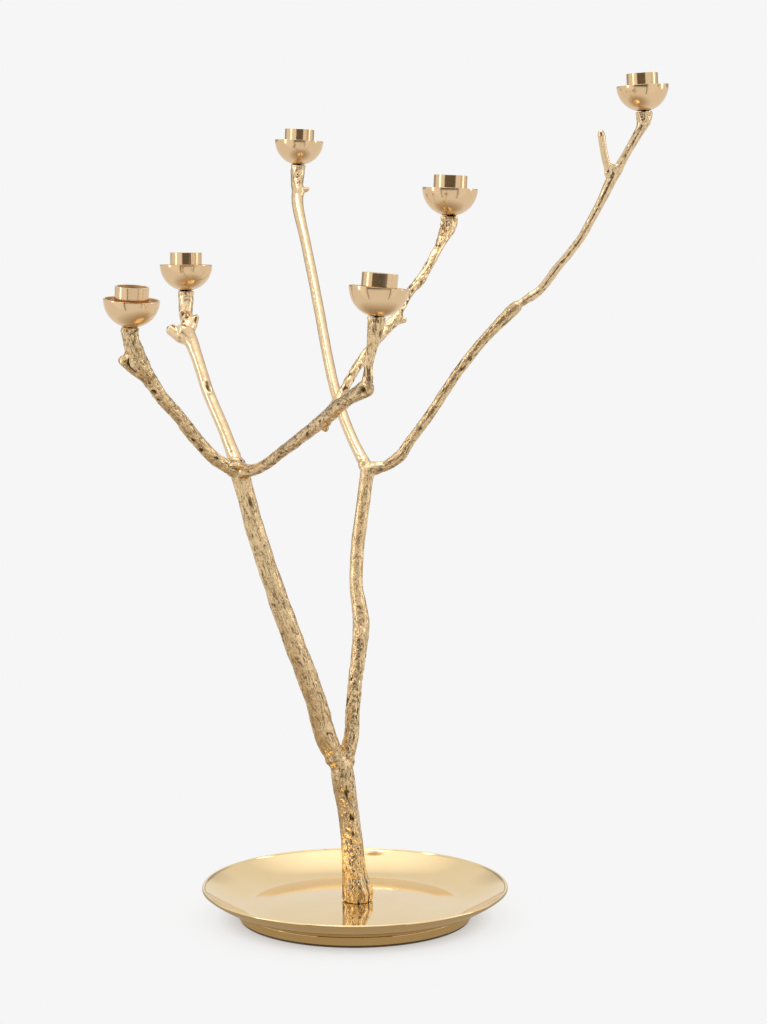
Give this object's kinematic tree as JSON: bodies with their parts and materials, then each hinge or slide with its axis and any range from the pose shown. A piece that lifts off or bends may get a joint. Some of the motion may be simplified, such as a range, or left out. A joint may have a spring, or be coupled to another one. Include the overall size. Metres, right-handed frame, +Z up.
{
  "type": "tabletop candelabra",
  "caption": "Twig-shaped cast brass candelabra on a shallow round dish, with screwed-on hemispherical drip bowls and candle sockets at the branch tips.",
  "frame": {"origin": "centre of the felt's underside, on the table under the middle of the dish", "axes": "+Z up; +X to the viewer's right; -Y toward the viewer who sees the tallest branch at the right"},
  "size_m": [0.4355, 0.506, 0.6733],
  "materials": {
    "polished_brass": "mirror polished",
    "bark_brass": "cast bark texture, polished on its high spots",
    "smooth_brass": "cast, polished",
    "steel": "satin",
    "felt": "felt"
  },
  "bodies": {
    "stand": {"base_dish": "polished_brass", "foot_ring": "polished_brass", "base_felt": "felt", "base_washer": "steel", "base_bolt": "steel", "trunk": "bark_brass", "left_stem": "bark_brass", "right_stem": "bark_brass", "far_left_branch": "bark_brass", "left_branch": "smooth_brass", "front_branch": "bark_brass", "front_twig": "bark_brass", "crossing_twig": "bark_brass", "rear_branch": "smooth_brass", "right_branch": "bark_brass", "right_twig": "bark_brass", "spur_twig": "bark_brass"},
    "cup_1": {"drip_bowl_1": "polished_brass", "candle_socket_1": "polished_brass", "cup_screw_1": "steel"},
    "cup_2": {"drip_bowl_2": "polished_brass", "candle_socket_2": "polished_brass", "cup_screw_2": "steel"},
    "cup_3": {"drip_bowl_3": "polished_brass", "candle_socket_3": "polished_brass", "cup_screw_3": "steel"},
    "cup_4": {"drip_bowl_4": "polished_brass", "candle_socket_4": "polished_brass", "cup_screw_4": "steel"},
    "cup_5": {"drip_bowl_5": "polished_brass", "candle_socket_5": "polished_brass", "cup_screw_5": "steel"},
    "cup_6": {"drip_bowl_6": "polished_brass", "candle_socket_6": "polished_brass", "cup_screw_6": "steel"}
  },
  "joints": [
    {"name": "cup_1_lift", "type": "slide", "parent": "stand", "child": "cup_1", "axis": [0.0597, -0.0895, 0.9942], "range_m": [0, 0.03]},
    {"name": "cup_2_lift", "type": "slide", "parent": "stand", "child": "cup_2", "axis": [0.005, 0, 1], "range_m": [0, 0.03]},
    {"name": "cup_3_lift", "type": "slide", "parent": "stand", "child": "cup_3", "axis": [0.0469, 0, 0.9989], "range_m": [0, 0.03]},
    {"name": "cup_4_lift", "type": "slide", "parent": "stand", "child": "cup_4", "axis": [0.042, 0, 0.9991], "range_m": [0, 0.03]},
    {"name": "cup_5_lift", "type": "slide", "parent": "stand", "child": "cup_5", "axis": [-0.0559, 0, 0.9984], "range_m": [0, 0.03]},
    {"name": "cup_6_lift", "type": "slide", "parent": "stand", "child": "cup_6", "axis": [0.0867, 0, 0.9962], "range_m": [0, 0.03]}
  ]
}
